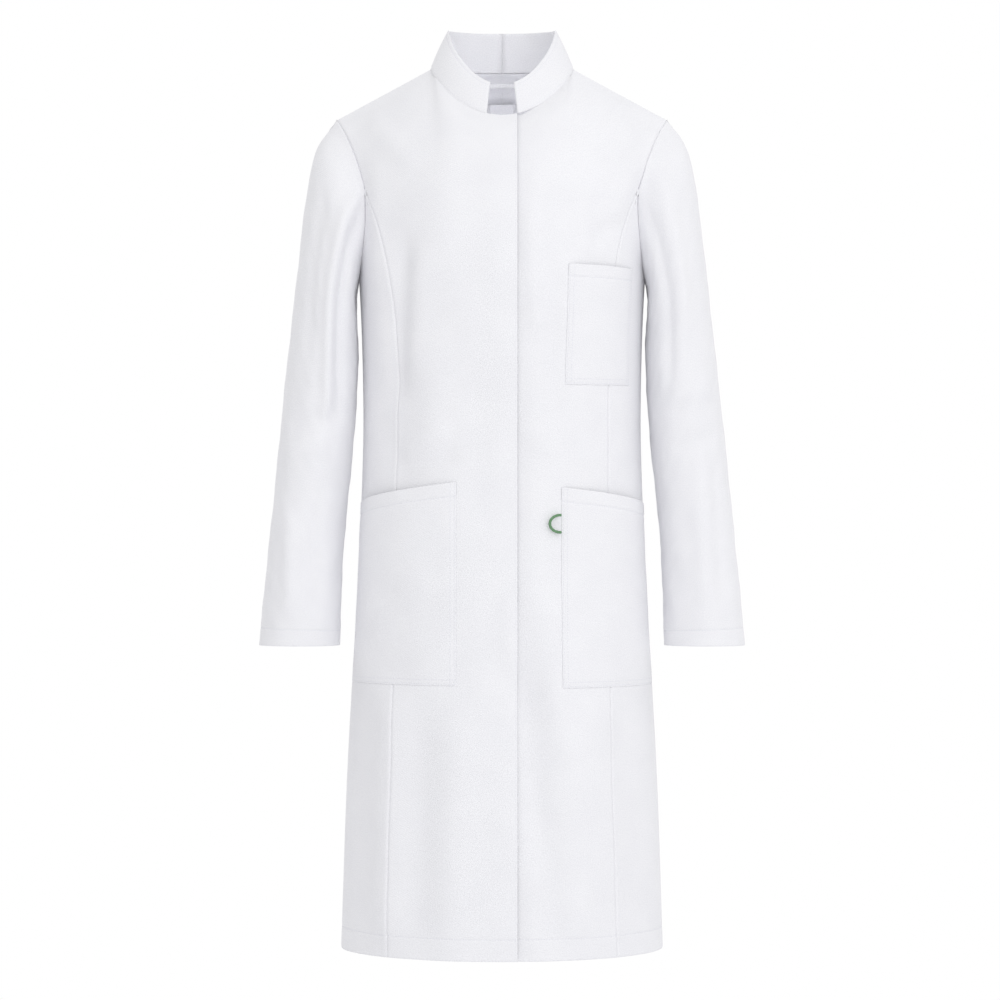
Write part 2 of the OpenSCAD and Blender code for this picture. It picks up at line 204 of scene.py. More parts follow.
backFolds = [
    {"from": (-120, 880), "to": (-60, 780), "wide": 14, "high": 2.6},
    {"from": (120, 880), "to": (62, 775), "wide": 14, "high": 2.6},
    {"from": (-100, 640), "to": (-30, 590), "wide": 11, "high": 2.2},
    {"from": (98, 620), "to": (34, 575), "wide": 11, "high": 2.0},
    {"from": (-90, 560), "to": (-20, 545), "wide": 10, "high": 1.8},
    {"from": (-60, 420), "to": (-76, 10), "wide": 22, "high": 4.5},
    {"from": (-14, 400), "to": (-18, 10), "wide": 20, "high": -4.0},
    {"from": (40, 410), "to": (50, 10), "wide": 22, "high": 4.5},
    {"from": (92, 380), "to": (108, 10), "wide": 20, "high": -3.5},
    {"from": (-120, 360), "to": (-132, 10), "wide": 20, "high": -3.0},
]


def ridges(folds, x, z):
    total = np.zeros(np.shape(x))
    for fold in folds:
        a, b = np.array(fold["from"], float), np.array(fold["to"], float)
        d = b - a
        t = ((x - a[0]) * d[0] + (z - a[1]) * d[1]) / (d @ d)
        off = np.hypot(x - a[0] - np.clip(t, 0, 1) * d[0], z - a[1] - np.clip(t, 0, 1) * d[1])
        fade = smooth(t / 0.3 + 0.4) * smooth((1 - t) / 0.3 + 0.4)
        total = total + fold["high"] * np.exp(-((off / (foldSpread * fold["wide"])) ** 2)) * fade
    return total


def ripple(x, z):  # small unevenness of pressed cotton that has been worn
    a = 0.62 * np.sin(x / 13 + z / 37 + 1.3 * np.sin(z / 61)) * np.sin(z / 29 - x / 47 + 0.6)
    b = 0.42 * np.sin(x / 7.3 - z / 19 + 2 * np.sin(x / 41 + z / 83)) * np.sin(z / 11.5 + 1.7)
    return a + b * smooth(np.sin(x / 57 + 1) * np.sin(z / 97) + 0.3)


def hang(q, f, s, p, h):  # how far the cloth stands off at a point of the right (s=-1) or left side
    x, z = s * q[..., 0], q[..., 2]
    calm = smooth((89 - np.abs(p)) / 14) * smooth((coatLength - h) / 30)
    folds = foldDepth * ridges(frontFolds if f < 0 else backFolds, x, z)
    return calm * (folds + ripple(x, z + 400 * (f > 0)))


# ---- making cloth: a closed thin shell over a grid, finer beside its edges and marks
def gridLine(a, b, step, marks):
    points = list(np.linspace(a, b, max(2, round((b - a) / step) + 1)))
    for m in marks:
        points += [m + d for d in (-3.5, -1.8, -0.9, 0, 0.9, 1.8, 3.5) if a <= m + d <= b]
    points = sorted(points)
    kept = [points[0]]
    for value in points[1:]:
        if value - kept[-1] > 0.3:
            kept.append(value)
    kept[-1] = b
    return np.array(kept)


def shellMesh(name, outer, inner, coords, wrap=False, flip=False):
    r, c = outer.shape[:2]
    n = r * c
    index = np.arange(n).reshape(r, c)
    if wrap:
        index = np.concatenate([index, index[:, :1]], 1)
    a, b, d, e = index[:-1, :-1], index[:-1, 1:], index[1:, 1:], index[1:, :-1]
    quads = [np.stack([a, b, d, e], -1).reshape(-1, 4), np.stack([a, e, d, b], -1).reshape(-1, 4) + n]

    def rim(line, turn):
        p, q = line[:-1], line[1:]
        strip = np.stack([p, p + n, q + n, q] if turn else [p, q, q + n, p + n], -1)
        quads.append(strip)

    rim(index[0], True)
    rim(index[-1], False)
    if not wrap:
        rim(index[:, 0], False)
        rim(index[:, -1], True)
    faces = np.concatenate(quads)
    if flip:
        faces = faces[:, ::-1]
    points = np.concatenate([outer.reshape(-1, 3), inner.reshape(-1, 3)])
    points[:, 2] -= coatLength
    mesh = bpy.data.meshes.new(name)
    mesh.from_pydata((points * mm).tolist(), [], faces.tolist())
    mesh.polygons.foreach_set("use_smooth", np.ones(len(faces), bool))
    where = mesh.attributes.new("clothCoord", "FLOAT_VECTOR", "POINT")
    both = np.concatenate([coords.reshape(-1, 3)] * 2) * mm
    where.data.foreach_set("vector", both.astype(np.float32).ravel())
    mesh.validate()
    piece = bpy.data.objects.new(name, mesh)
    bpy.context.scene.collection.objects.link(piece)
    return piece


def flatArea(q, wrap=False):  # area of one layer of a grid, in square metres
    if wrap:
        q = np.concatenate([q, q[:, :1]], 1)
    d1, d2 = q[1:, 1:] - q[:-1, :-1], q[1:, :-1] - q[:-1, 1:]
    return float(np.linalg.norm(np.cross(d1, d2), axis=-1).sum() / 2 * mm * mm)


def declareSheet(width, length, area):
    width, length = max(width, area / length * 1.002), length


def clothPiece(name, lo, hi, h1, h2, s, f, cols, flat, off=None, edges="ss--", rowMarks=(),
               thick=0.45, step=7):
    hs = gridLine(h1, h2, step, list(rowMarks) + [h1, h2])
    a, b = lo(hs), hi(hs)
    wide = np.maximum(np.linalg.norm(skin(b, hs, f) - skin(a, hs, f), axis=-1), 1.0)
    near = np.array([0, 0.5, 1.1, 2.0, 3.4, 5.2])
    u1 = near[None] / wide[:, None]
    u2 = 1 - u1[:, ::-1]
    ends = u1[:, -1:], u2[:, :1]
    inner = ends[0] + (ends[1] - ends[0]) * np.linspace(0, 1, cols + 1)[None, 1:-1]
    u = np.concatenate([u1, inner, u2], 1)
    p = a[:, None] + (b - a)[:, None] * u
    h = np.broadcast_to(hs[:, None], p.shape)
    q, n = skin(p, h, f), outward(p, h, f)
    steps = np.linalg.norm(np.diff(q, axis=1), axis=-1)
    run = np.concatenate([np.zeros((len(hs), 1)), np.cumsum(steps, 1)], 1)
    left, right = run, run[:, -1:] - run
    low, high = h - h1, h2 - h
    stand = hang(q, f, s, p, h) + (off(q, u, h) if off else 0)
    for kind, d in zip(edges, (left, right, low, high)):
        if kind == "s":  # sewn into a seam: the cloth dips into the stitching
            stand = stand - 0.75 * np.exp(-((d / 1.1) ** 2)) + 0.25 * np.exp(-(((d - 3.2) / 1.8) ** 2))
        if kind == "t":  # turned under and pressed: a round edge
            stand = stand - 0.35 * np.exp(-((d / 0.6) ** 2)) + 0.12 * np.exp(-(((d - 2.5) / 2) ** 2))
    for mark in rowMarks:  # a row of stitching pulls the cloth in
        stand = stand - 0.4 * np.exp(-(((h - mark) / 1.3) ** 2))
    outerGrid, innerGrid = q + n * stand[..., None], q + n * (stand - thick)[..., None]
    for grid in (outerGrid, innerGrid):
        grid[..., 0] *= s
    coords = stack(left * s, h, 0 * h)
    piece = shellMesh(name, outerGrid, innerGrid, coords, flip=(s * f > 0))
    declareSheet(flat[0], flat[1], flatArea(q))
    return piece


def bendFront(piece):  # bakes the piece's transform into its mesh; the front is not turned about its fold line
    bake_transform(piece)


def sideName(s):
    return "right" if s < 0 else "left"


# ---- cotton and polyester twill, woven and pressed: matt, with fine slanting lines and soft fuzz
def linear(code):  # sRGB hex to the linear colour that Blender mixes
    rgb = [int(code[i:i + 2], 16) / 255 for i in (1, 3, 5)]
    return tuple(c / 12.92 if c <= 0.04045 else ((c + 0.055) / 1.055) ** 2.4 for c in rgb) + (1,)


def addNode(tree, kind, settings=None, links=None):
    node = tree.nodes.new(kind)
    for key, value in (settings or {}).items():
        if isinstance(key, int) or key in node.inputs:
            node.inputs[key].default_value = value
        else:
            setattr(node, key, value)
    for key, source in (links or {}).items():
        tree.links.new(source, node.inputs[key])
    return node


def weaveMaterial(name, look):
    material = bpy.data.materials.new(name)
    material.use_nodes = True
    tree = material.node_tree
    tree.nodes.clear()
    where = addNode(tree, "ShaderNodeAttribute", {"attribute_name": "clothCoord"})
    turned = addNode(tree, "ShaderNodeMapping", {"Rotation": (0, 0, math.radians(look["slant"]))},
                     {"Vector": where.outputs["Vector"]})
    # wave scale is 20 / (pi * 2 * spacing) in Blender's bands, so one band falls on each rib
    ribs = addNode(tree, "ShaderNodeTexWave", {"Scale": 0.314 / (look["ribMm"] * mm), "Distortion": 1.2,
                   "Detail": 1.0, "Detail Scale": 1.5}, {"Vector": turned.outputs["Vector"]})
    yarn = addNode(tree, "ShaderNodeTexNoise", {"Scale": 1 / (look["yarnMm"] * mm), "Detail": 2.0},
                   {"Vector": where.outputs["Vector"]})
    cloudy = addNode(tree, "ShaderNodeTexNoise", {"Scale": 1 / (look["patchMm"] * mm), "Detail": 3.0},
                     {"Vector": where.outputs["Vector"]})
    height = addNode(tree, "ShaderNodeMath", {"operation": "MULTIPLY_ADD", 1: 0.6},
                     {0: ribs.outputs["Fac"], 2: yarn.outputs["Fac"]})
    bump = addNode(tree, "ShaderNodeBump", {"Strength": look["relief"], "Distance": 0.0002},
                   {"Height": height.outputs[0]})
    tone = addNode(tree, "ShaderNodeMix",
                   {"data_type": "RGBA", 6: linear(look["dark"]), 7: linear(look["light"])},
                   {0: cloudy.outputs["Fac"]})
    fine = addNode(tree, "ShaderNodeMix",
                   {"data_type": "RGBA", "blend_type": "MULTIPLY", 7: linear(look["thread"])},
                   {6: tone.outputs[2]})
    share = addNode(tree, "ShaderNodeMath", {"operation": "MULTIPLY", 1: look["grain"]},
                    {0: yarn.outputs["Fac"]})
    tree.links.new(share.outputs[0], fine.inputs[0])
    shader = addNode(tree, "ShaderNodeBsdfPrincipled",
                     {"Roughness": look["roughness"], "Sheen Weight": look["sheen"], "Sheen Roughness": 0.5,
                      "Specular IOR Level": 0.3, "IOR": 1.5},
                     {"Base Color": fine.outputs[2], "Normal": bump.outputs["Normal"]})
    end = addNode(tree, "ShaderNodeOutputMaterial")
    tree.links.new(shader.outputs[0], end.inputs["Surface"])
    return material


# 0.45 mm ribs are too fine to show, so they are drawn 1.8 mm apart
twillLook = {"dark": "#f4f4f6", "light": "#fbfbfc", "thread": "#dcdce2", "slant": 62,
             "ribMm": 1.8, "yarnMm": 1.3, "patchMm": 45, "relief": 0.6, "grain": 0.8,
             "roughness": 0.86, "sheen": 0.2}
twill = weaveMaterial("whiteTwill", twillLook)
# the wrong side of the twill is a little greyer, and its ribs slant the other way
innerTwill = weaveMaterial("twillWrongSide",
                           {**twillLook, "dark": "#f2f2f5", "light": "#f9f9fb", "slant": -62})
# spun polyester sewing thread: brighter and slightly glossy, standing on the cloth
threadWhite = weaveMaterial("sewingThread", {**twillLook, "dark": "#eaeaf1", "light": "#f4f4f8",
                            "ribMm": 0.9, "yarnMm": 0.6, "relief": 0.2, "roughness": 0.6, "sheen": 0.05})
# damask woven label: smooth and satin, blank
labelSatin = weaveMaterial("labelSatin", {**twillLook, "dark": "#f0f0f4", "light": "#fafafc", "slant": 0,
                           "ribMm": 0.8, "relief": 0.15, "roughness": 0.45, "sheen": 0.1})
# plaited polyester cord, dyed green, with a brighter core where the plait opens
greenCord = weaveMaterial("greenCord", {**twillLook, "dark": "#6d9a70", "light": "#93b893",
                          "thread": "#557d59", "slant": 40, "ribMm": 1.6, "yarnMm": 0.8, "patchMm": 6,
                          "relief": 0.8, "grain": 0.8, "roughness": 0.7, "sheen": 0.15})


def metalMaterial(name, look):  # pressed brass with a nickel finish: pale, satin, faintly brushed
    material = bpy.data.materials.new(name)
    material.use_nodes = True
    tree = material.node_tree
    shader = tree.nodes["Principled BSDF"]
    shader.inputs["Base Color"].default_value = linear(look["color"])
    shader.inputs["Metallic"].default_value = 1
    where = addNode(tree, "ShaderNodeTexCoord")
    worn = addNode(tree, "ShaderNodeTexNoise", {"Scale": 1 / (look["wearMm"] * mm), "Detail": 3.0},
                   {"Vector": where.outputs["Object"]})
    spread = addNode(tree, "ShaderNodeMapRange", {3: look["smooth"], 4: look["rough"]},
                     {0: worn.outputs["Fac"]})
    tree.links.new(spread.outputs[0], shader.inputs["Roughness"])
    return material


nickel = metalMaterial("nickelPlate", {"color": "#d4d2cc", "wearMm": 1.5, "smooth": 0.2, "rough": 0.45})


def dress(piece, material):
    piece.data.materials.clear()
    piece.data.materials.append(material)


# ---- the panels of the body
panel = {"hemBand": 24}
hemMarks = [panel["hemBand"]]


def sideEdge(h):
    return np.where(h < shape["chest"], edgeAngle(h), shape["armColumn"])


dive = {"from": 18, "to": 40, "deep": 3.4}  # the left front runs under the right one


def underRight(q, u, h):
    return -dive["deep"] * (1 - smooth((q[..., 0] - dive["from"]) / (dive["to"] - dive["from"])))


snaps = {"low": 148, "pitch": 130, "top": 922, "x": 2, "rim": 5.6}
snapHeights = [snaps["low"] + i * snaps["pitch"] for i in range(6)] + [snaps["top"]]


def overSnaps(q, u, h):  # the hidden press studs draw the cloth in a little
    near = [np.hypot(q[..., 0] - snaps["x"], q[..., 2] - z) / snaps["rim"] for z in snapHeights]
    r = np.min(near, axis=0)
    return 0.5 * np.exp(-(((r - 1) / 0.45) ** 2)) - 0.4 * np.exp(-((r / 0.6) ** 2))


for s in (-1, 1):
    side = sideName(s)
    back = clothPiece(f"{side}Back", lambda h: 0 * h, panelEdge(backSeam), 0, coatLength, s, 1, 26,
                      (0.2, 1.03), edges="ssts", rowMarks=hemMarks)
    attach(back, "coat_body")
    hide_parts(f"{side}_back")
    sideBack = clothPiece(f"{side}SideBack", backSeam, sideEdge, 0, shape["chest"] - 0.5, s, 1, 18,
                          (0.13, 0.87), edges="ssts", rowMarks=hemMarks)
    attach(sideBack, "coat_body")
    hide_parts(f"{side}_side_back")
    sideFront = clothPiece(f"{side}SideFront", frontSeam, sideEdge, 0, shape["chest"] - 0.5, s, -1, 16,
                           (0.12, 0.87), edges="ssts", rowMarks=hemMarks)
    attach(sideFront, "coat_body")
    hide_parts(f"{side}_side_front")
    start = -shape["notchHalf"] if s < 0 else -16
    front = clothPiece(f"{side}Front", lambda h: atX(h, start), panelEdge(frontSeam), 0, coatLength,
                       s, -1, 30, (0.2, 1.0), off=underRight if s > 0 else overSnaps,
                       edges="tsts", rowMarks=hemMarks)
    bendFront(front)
    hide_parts(f"{side}_front", f"{side}_shoulder_front", f"{side}_fold")
    for piece in (back, sideBack, sideFront, front):
        dress(piece, twill)
print("body panels are made")


# ---- facings inside the front edges; the right facing also stands in for the fly strip that carries the press studs
facing = {"right": (-15, 60), "left": (-14, 55)}


def below(depth, also=None):
    return lambda q, u, h: -depth + (also(q, u, h) if also else 0)


rightFacing = clothPiece("rightFacing", lambda h: atX(h, facing["right"][0]),
                         lambda h: atX(h, facing["right"][1]), 4, coatLength - 4, -1, -1, 10, (0.075, 0.94),
                         off=below(1.1), edges="tt--")
leftFacing = clothPiece("leftFacing", lambda h: atX(h, facing["left"][0]),
                        lambda h: atX(h, facing["left"][1]), 4, coatLength - 4, 1, -1, 9, (0.07, 0.94),
                        off=below(0.8, underRight), edges="tt--")
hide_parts("right_facing", "fly_strip")
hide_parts("left_facing")
for s, piece in ((-1, rightFacing), (1, leftFacing)):
    bendFront(piece)
    dress(piece, innerTwill)
neckFacing = {"deep": 46, "half": 24}
for s in (-1, 1):
    piece = clothPiece(f"{sideName(s)}NeckFacing", lambda h: 0 * h, lambda h: 0 * h + neckFacing["half"],
                       coatLength - neckFacing["deep"], coatLength - 2, s, 1, 12, (0.08, 0.05),
                       off=below(1.0), edges="-tt-")
    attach(piece, "coat_body")
    dress(piece, innerTwill)
    if s < 0:
        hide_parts("back_neck_facing")
print("facings are made")


# ---- stand collar: two layers of twill over an interlining, topstitched along its edges
collar = {"thick": 1.7, "end": math.degrees(math.asin(shape["notchHalf"] / shape["neckHalf"]))}


def collarSkin(w, u):  # w from 0 at the front to 180 at the back
    w = np.asarray(w, float)
    front = w <= 90
    a = np.where(front, w, 180 - w)
    base = np.where(front[..., None], neckRing(a, -1), neckRing(a, 1))
    frontH = shape["collarFront"] + (shape["collarBack"] - shape["collarFront"]) * (1 - cosD(a))
    rise = np.where(front, frontH, shape["collarBack"])
    top = stack(base[..., 0] * 0.76, -5 + (base[..., 1] + 5) * 0.84, base[..., 2] + rise)
    bulge = (0.9 * np.sin(np.pi * u))[..., None] * unit(base * np.array([1, 1, 0]))
    wave = 0.7 * np.sin(w / 11) * np.sin(w / 23 + 1) * u
    return base + (top - base) * u[..., None] + bulge + unit(base * np.array([1, 1, 0])) * wave[..., None]


def collarOut(w, u):
    d = 0.4
    across = collarSkin(w + d, u) - collarSkin(w - d, u)
    return unit(np.cross(across, collarSkin(w, u + 0.02) - collarSkin(w, u - 0.02)))


for s in (-1, 1):
    long = 118.0
    ws = collar["end"] + (180 - collar["end"]) * gridLine(0, long, 4, [0]) / long
    us = np.array([-0.03, 0, 0.02, 0.05, 0.1, 0.2, 0.34, 0.5, 0.66, 0.8, 0.86, 0.88, 0.9, 0.94,
                   0.975, 0.99, 1.0])
    w, u = np.meshgrid(ws, us)
    q, n = collarSkin(w, u), collarOut(w, u)
    fromEnd = (w - collar["end"]) * 1.25
    fromTop = (1 - u) * shape["collarBack"]
    thin = (0.35 + 0.65 * smooth(fromEnd / 1.6)) * (0.35 + 0.65 * smooth(fromTop / 1.6))
    thick = collar["thick"] * thin
    seamDip = 0.5 * np.exp(-((u / 0.03) ** 2))
    stitchDip = 0.25 * (np.exp(-(((fromTop - 5) / 0.9) ** 2)) + np.exp(-(((fromEnd - 5) / 0.9) ** 2)))
    lift = 0.5 - seamDip - stitchDip
    outerGrid, innerGrid = q + n * (lift + thick / 2)[..., None], q + n * (-thick / 2 + 0.5)[..., None]
    for grid in (outerGrid, innerGrid):
        grid[..., 0] *= s
    piece = shellMesh(f"{sideName(s)}Collar", outerGrid, innerGrid,
                      stack(w * 1.25 * s, u * shape["collarBack"], 0 * u), flip=(s < 0))
    declareSheet(0.21, 0.045, flatArea(q))
    bendFront(piece)
    dress(piece, twill)
    names = [f"{sideName(s)}_collar_outer", f"{sideName(s)}_collar_inner"]
    names += ["back_collar_outer"] if s < 0 else ["back_collar_inner", "collar_interlining"]
    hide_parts(*names)
print("collar is made")


# ---- sleeves: from the armhole to a turned cuff, bent a little forward, creased at the elbow
outsideLine = [[0, 191, 941], [0.08, 211, 910], [0.16, 221, 864], [0.3, 232, 775], [0.5, 247, 640],
               [0.75, 263, 480], [1, 276, 344]]
insideLine = [[0, 169, 763], [0.08, 168, 745], [0.16, 165.5, 722], [0.3, 163.5, 668], [0.5, 169, 575],
              [0.75, 180, 458], [1, 184, 344]]
depthLine = [[0, 56], [0.12, 63], [0.3, 62], [0.6, 52], [1, 43]]
sleeve = {"long": 597, "cuffBand": 22, "thick": 0.45, "blendIn": 0.14, "around": 120}
# angle is 0 outside, 90 in front, 180 under the arm; down is a share of the sleeve's length
sleeveFolds = {
    "right": [
        {"from": (84, 0.03), "to": (104, 0.5), "wide": 7, "high": 3.4},
        {"from": (104, 0.04), "to": (126, 0.46), "wide": 8, "high": -3.0},
        {"from": (52, 0.1), "to": (64, 0.4), "wide": 10, "high": -1.6},
        {"from": (40, 0.62), "to": (110, 0.55), "wide": 9, "high": 1.9},
        {"from": (50, 0.56), "to": (130, 0.47), "wide": 8, "high": -1.7},
        {"from": (60, 0.7), "to": (78, 0.93), "wide": 11, "high": 2.0},
        {"from": (100, 0.66), "to": (112, 0.92), "wide": 10, "high": -1.6},
    ],
    "left": [
        {"from": (96, 0.05), "to": (112, 0.42), "wide": 9, "high": -2.4},
        {"from": (70, 0.04), "to": (84, 0.36), "wide": 10, "high": 2.0},
        {"from": (46, 0.5), "to": (116, 0.44), "wide": 9, "high": 1.8},
        {"from": (44, 0.58), "to": (118, 0.55), "wide": 8, "high": -1.5},
        {"from": (80, 0.6), "to": (90, 0.95), "wide": 12, "high": 2.2},
        {"from": (54, 0.62), "to": (60, 0.9), "wide": 11, "high": -1.4},
    ],
}
sleeveBackFolds = [
    {"from": (250, 0.42), "to": (320, 0.5), "wide": 10, "high": 2.2},
    {"from": (240, 0.52), "to": (310, 0.56), "wide": 9, "high": -2.0},
    {"from": (262, 0.1), "to": (270, 0.4), "wide": 12, "high": -2.0},
    {"from": (280, 0.6), "to": (284, 0.95), "wide": 12, "high": 1.6},
]


def armRaw(t, a):
    o = stack(curve([r[:2] for r in outsideLine], t), 0, curve([[r[0], r[2]] for r in outsideLine], t))
    n = stack(curve([r[:2] for r in insideLine], t), 0, curve([[r[0], r[2]] for r in insideLine], t))
    fade = 1 - smooth(t / 0.3)
    shift = stack(-20 * sinD(a) ** 2 * fade, -sinD(a) * curve(depthLine, t) - 14 * t * t, 0 * t)
    return (o + n) / 2 + cosD(a)[..., None] * (o - n) / 2 + shift


ladder = np.linspace(shape["underarm"], coatLength, 300)  # heights down the armhole, by their real level


def armhole(a, s):  # the point of the body's armhole that ring angle a is sewn to
    points = np.zeros(np.shape(a) + (3,))
    for f, here in ((-1, sinD(a) >= 0), (1, sinD(a) < 0)):
        edge = edgeAngle(ladder)
        q = skin(edge, ladder, f)
        q = q + outward(edge, ladder, f) * (hang(q, f, s, edge, ladder) - 0.6)[..., None]
        level = 853.5 + 88.5 * cosD(a)
        found = np.stack([np.interp(level, q[:, 2], q[:, k]) for k in range(3)], -1)
        points = np.where(here[..., None], found, points)
    return points


def arm(t, a, s):
    gap = armhole(a, s) - armRaw(0 * t, a)
    return armRaw(t, a) + gap * (1 - smooth(t / sleeve["blendIn"]))[..., None]


def armOut(t, a, s):
    t2 = np.clip(t, 0.004, 0.996)
    across = arm(t2, a + 1, s) - arm(t2, a - 1, s)
    return unit(np.cross(across, arm(t2 + 0.004, a, s) - arm(t2 - 0.004, a, s)))


def sleeveStand(t, a, s):
    folds = sleeveFolds[sideName(s)] + sleeveBackFolds
    inMm = [{**g, **{end: (g[end][0], g[end][1] * sleeve["long"]) for end in ("from", "to")}}
            for g in folds]
    calm = smooth(t / 0.05) * smooth((1 - t) / 0.08 + 0.25)
    down = t * sleeve["long"]
    seamless = 0.55 * np.sin(np.radians(a) * 5 + down / 31) * np.sin(down / 23 + s)
    fine = 0.3 * np.sin(np.radians(a) * 11 - down / 14) * np.sin(down / 9.5 + 2 * s)
    fromCuff = sleeve["long"] - down
    dips = -0.7 * np.exp(-((down / 1.2) ** 2)) + 0.5 * np.exp(-(((down - 4) / 3) ** 2))
    dips = dips - 0.4 * np.exp(-(((fromCuff - sleeve["cuffBand"]) / 1.3) ** 2))
    dips = dips - 0.3 * np.exp(-((fromCuff / 0.7) ** 2))
    return calm * (foldDepth * ridges(inMm, a, down) + seamless + fine) + dips


for s in (-1, 1):
    marks = [0, sleeve["long"] - sleeve["cuffBand"], sleeve["long"]]
    ts = gridLine(0, sleeve["long"], 6, marks) / sleeve["long"]
    angles = np.arange(sleeve["around"]) * 360 / sleeve["around"]
    t, a = np.meshgrid(ts, angles, indexing="ij")
    q, n = arm(t, a, s), armOut(t, a, s)
    stand = sleeveStand(t, a, s)
    outerGrid, innerGrid = q + n * stand[..., None], q + n * (stand - sleeve["thick"])[..., None]
    for grid in (outerGrid, innerGrid):
        grid[..., 0] *= s
    piece = shellMesh(f"{sideName(s)}Sleeve", outerGrid, innerGrid,
                      stack(a * s, t * sleeve["long"], 0 * t), wrap=True, flip=(s < 0))
    declareSheet(0.36, 0.6, flatArea(q, True))
    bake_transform(piece)
    dress(piece, twill)
    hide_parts(f"{sideName(s)}_sleeve")
print("sleeves are made")


# ---- patch pockets: turned edges, a stitched hem along the top, a little room in the mouth
pockets = {
    "right": {"side": -1, "inX": 51, "low": 303, "highIn": 529, "highOut": 505, "hem": 16, "ease": 5.0,
              "out": lambda h: 0 * h + 84, "flat": (0.19, 0.23),
              "nodes": ["right_pocket", "right_pocket_side"]},
    "left": {"side": 1, "inX": 66, "low": 300, "highIn": 523, "highOut": 504, "hem": 16, "ease": 4.5,
             "out": lambda h: 0 * h + 84, "flat": (0.19, 0.23),
             "nodes": ["left_pocket", "left_pocket_side"]},
    "chest": {"side": 1, "inX": 70, "low": 637, "highIn": 771, "highOut": 768, "hem": 14, "ease": 3.0,
              "out": lambda h: atX(h, 152), "flat": (0.125, 0.14),
              "nodes": ["chest_pocket", "chest_pocket_side"]},
}


def pocketGrid(look, s):
    tall = look["highIn"] - look["low"]
    vs = gridLine(0, tall, 5, [0, tall - look["hem"], tall]) / tall
    us = gridLine(0, 180, 5, [0, 180]) / 180
    u, v = np.meshgrid(us, vs)
    top = look["highIn"] + (look["highOut"] - look["highIn"]) * u
    h = look["low"] + (top - look["low"]) * v
    slant = look["inX"] + (4 * v if look is pockets["chest"] else 0)
    lo, hi = atX(h, slant), look["out"](h)
    p = lo + (hi - lo) * u
    q, n = skin(p, h, -1), outward(p, h, -1)
    wide = np.linalg.norm(np.diff(q, axis=1), axis=-1)
    run = np.concatenate([np.zeros((len(vs), 1)), np.cumsum(wide, 1)], 1)
    return u, v, p, h, q, n, run


def pocketStand(look, u, v, run, q, p, h, s):
    left, right = run, run[:, -1:] - run
    low, high = h - look["low"], (1 - v) * (look["highIn"] - look["low"])
    crown = look["ease"] * np.sin(np.pi * u) ** 1.3 * smooth((v - 0.25) / 0.9)
    puff = 0.9 * smooth(np.minimum(np.minimum(left, right), low) / 10)
    stand = hang(q, -1, s, p, h) + 0.85 + crown + puff
    for d in (left, right, low, high):
        stand = stand - 0.35 * np.exp(-((d / 0.6) ** 2))
    for d in (left - 2, right - 2, low - 2):
        stand = stand - 0.25 * np.exp(-((d / 0.9) ** 2))
    hemDip = 0.4 * np.exp(-(((high - look["hem"]) / 1.2) ** 2))
    return stand - hemDip + 0.35 * smooth((look["hem"] - high) / 1.5)


pocketData = {}
for name, look in pockets.items():
    s = look["side"]
    u, v, p, h, q, n, run = pocketGrid(look, s)
    stand = pocketStand(look, u, v, run, q, p, h, s)
    outerGrid, innerGrid = q + n * stand[..., None], q + n * (stand - 0.45)[..., None]
    for grid in (outerGrid, innerGrid):
        grid[..., 0] *= s
    pocketData[name] = (outerGrid, n * np.array([s, 1, 1]), run, h, look)
    piece = shellMesh(f"{name}Pocket", outerGrid, innerGrid, stack(run * s, h, 0 * h), flip=(s < 0))
    declareSheet(look["flat"][0], look["flat"][1], flatArea(q))
    bendFront(piece)
    dress(piece, twill)
    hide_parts(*look["nodes"])
print("pockets are made")


# ---- sewing: each stitch is a small raised grain of thread, every 3 mm
stitch = {"pitch": 3.0, "long": 2.3, "wide": 0.55, "high": 0.32}


def stitchesAlong(points, normals):
    seg = np.linalg.norm(np.diff(points, axis=0), axis=-1)
    run = np.concatenate([[0], np.cumsum(seg)])
    at = np.arange(stitch["pitch"] / 2, run[-1], stitch["pitch"])
    mid = np.stack([np.interp(at, run, points[:, k]) for k in range(3)], -1)
    n = unit(np.stack([np.interp(at, run, normals[:, k]) for k in range(3)], -1))
    ahead = np.stack([np.interp(at + 0.5, run, points[:, k]) for k in range(3)], -1)
    along = unit(ahead - np.stack([np.interp(at - 0.5, run, points[:, k]) for k in range(3)], -1))
    sideways = np.cross(n, along)
    half, w, top = stitch["long"] / 2, stitch["wide"] / 2, stitch["high"]
    fore, aside, rise = along * half * 0.45, sideways * w, n * 0.1
    corners = [mid + along * half, mid + fore + aside + rise, mid + n * top, mid + fore - aside + rise,
               mid - along * half, mid - fore + aside + rise, mid - fore - aside + rise, mid - n * 0.15]
    faces = [(0, 1, 2), (0, 2, 3), (1, 5, 2), (3, 2, 6), (5, 4, 2), (6, 2, 4),
             (0, 7, 1), (0, 3, 7), (1, 7, 5), (3, 6, 7), (5, 7, 4), (6, 4, 7)]
    verts = np.stack(corners, 1).reshape(-1, 3)
    count = len(mid)
    allFaces = (np.array(faces)[None] + (np.arange(count) * 8)[:, None, None]).reshape(-1, 3)
    return verts, allFaces


def newPiece(name, points, faces, coords=None):  # points are millimetres above the hem
    mesh = bpy.data.meshes.new(name)
    mesh.from_pydata(((np.asarray(points) - np.array([0, 0, coatLength])) * mm).tolist(), [], faces)
    if coords is not None:
        where = mesh.attributes.new("clothCoord", "FLOAT_VECTOR", "POINT")
        where.data.foreach_set("vector", (coords * mm).astype(np.float32).ravel())
    piece = bpy.data.objects.new(name, mesh)
    bpy.context.scene.collection.objects.link(piece)
    return piece


def threadPiece(name, lines):
    verts, faces, start = [], [], 0
    for points, normals in lines:
        v, f = stitchesAlong(points, normals)
        verts.append(v)
        faces.append(f + start)
        start += len(v)
    v = np.concatenate(verts)
    piece = newPiece(name, v, np.concatenate(faces).tolist(), v - np.array([0, 0, coatLength]))
    dress(piece, threadWhite)
    return piece


